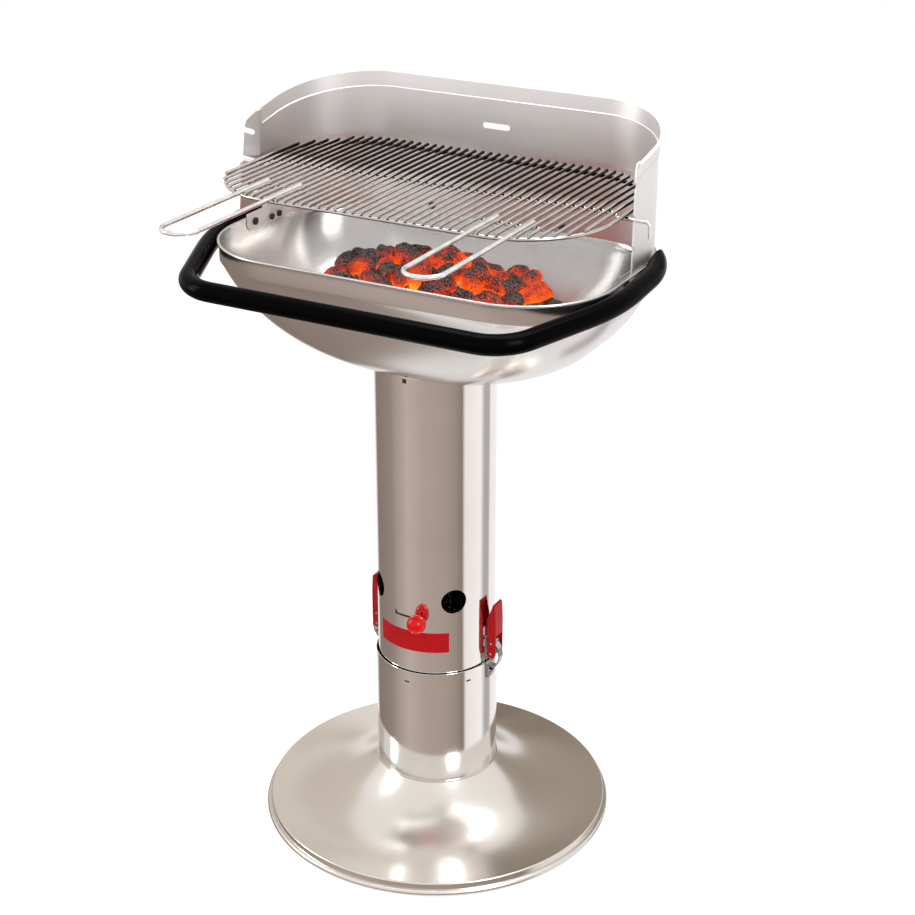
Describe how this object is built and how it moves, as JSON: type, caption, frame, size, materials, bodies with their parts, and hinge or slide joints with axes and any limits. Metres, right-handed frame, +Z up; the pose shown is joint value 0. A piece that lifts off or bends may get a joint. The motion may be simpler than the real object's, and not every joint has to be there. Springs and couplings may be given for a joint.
{
  "type": "charcoal grill",
  "caption": "Pedestal charcoal grill: dished fire bowl with windshield and hung wire grid on a chimney column with an air regulator, clamped to an ash bucket on a round foot.",
  "frame": {"origin": "on the floor, at the column's axis, in the plane of the foot's rolled rim", "axes": "+Z up, -Y to the front where the grid handles point, +X to the grill's right as seen from the front"},
  "size_m": [0.619, 0.596, 1.0263],
  "materials": {
    "brushed_steel": "brushed stainless sheet",
    "dark_steel": "dull dark sheet and wire",
    "zinc_steel": "zinc plated, satin",
    "red_label": "satin red print",
    "red_plastic": "glossy red ball",
    "red_paint": "red powder coat",
    "black_enamel": "glossy black enamel",
    "glowing_charcoal": null,
    "grid_chrome": "plated wire, bright",
    "clamp_chrome": "plated, bright"
  },
  "bodies": {
    "stand": {"base_foot": "brushed_steel", "foot_bolts": "zinc_steel", "ash_bucket": "brushed_steel", "chimney_tube": "brushed_steel", "label_plate": "red_label", "fire_bowl": "brushed_steel", "bowl_collar": "dark_steel", "windshield": "brushed_steel", "windshield_bolts": "dark_steel", "side_handle": "black_enamel", "handle_brackets": "dark_steel", "handle_screws": "dark_steel", "clamp_bracket_right": "clamp_chrome", "clamp_pin_right": "clamp_chrome", "catch_plate_right": "clamp_chrome", "clamp_bracket_left": "clamp_chrome", "clamp_pin_left": "clamp_chrome", "catch_plate_left": "clamp_chrome"},
    "regulator": {"air_sleeve": "dark_steel", "regulator_stem": "zinc_steel", "regulator_knob": "red_plastic"},
    "fuel_bed": {"fuel_grate": "dark_steel", "fuel_grate_bars": "dark_steel", "charcoal": "glowing_charcoal"},
    "cooking_grid": {"grid_bars": "grid_chrome", "grid_frame": "grid_chrome", "grid_cross_wires": "grid_chrome", "grid_handle_left": "grid_chrome", "grid_handle_right": "grid_chrome"},
    "lever_right": {"clamp_lever_right": "red_paint", "hook_pin_right": "clamp_chrome"},
    "lever_left": {"clamp_lever_left": "red_paint", "hook_pin_left": "clamp_chrome"},
    "hook_right": {"clamp_hook_right": "clamp_chrome"},
    "hook_left": {"clamp_hook_left": "clamp_chrome"}
  },
  "joints": [
    {"name": "regulator_turn", "type": "hinge", "parent": "stand", "child": "regulator", "pos_m": [0, 0, 0.339], "axis": [0, 0, 1], "range_deg": [-26, 0]},
    {"name": "fuel_lift", "type": "slide", "parent": "stand", "child": "fuel_bed", "axis": [0, 0, 1], "range_m": [0, 0.03]},
    {"name": "grid_unhook", "type": "slide", "parent": "stand", "child": "cooking_grid", "axis": [0, -0.9063, 0.4226], "range_m": [0, 0.06]},
    {"name": "lever_right_open", "type": "hinge", "parent": "stand", "child": "lever_right", "pos_m": [0.0927, 0, 0.2685], "axis": [0, 1, 0], "range_deg": [0, 95]},
    {"name": "lever_left_open", "type": "hinge", "parent": "stand", "child": "lever_left", "pos_m": [-0.0927, 0, 0.2685], "axis": [0, -1, 0], "range_deg": [0, 95]},
    {"name": "hook_right_swing", "type": "hinge", "parent": "lever_right", "child": "hook_right", "pos_m": [0.0932, 0, 0.2845], "axis": [0, 1, 0], "range_deg": [-95, 0]},
    {"name": "hook_left_swing", "type": "hinge", "parent": "lever_left", "child": "hook_left", "pos_m": [-0.0932, 0, 0.2845], "axis": [0, -1, 0], "range_deg": [-95, 0]}
  ],
  "couplings": [
    {"joint": "hook_right_swing", "follows": "lever_right_open", "ratio": -1},
    {"joint": "hook_left_swing", "follows": "lever_left_open", "ratio": -1}
  ]
}
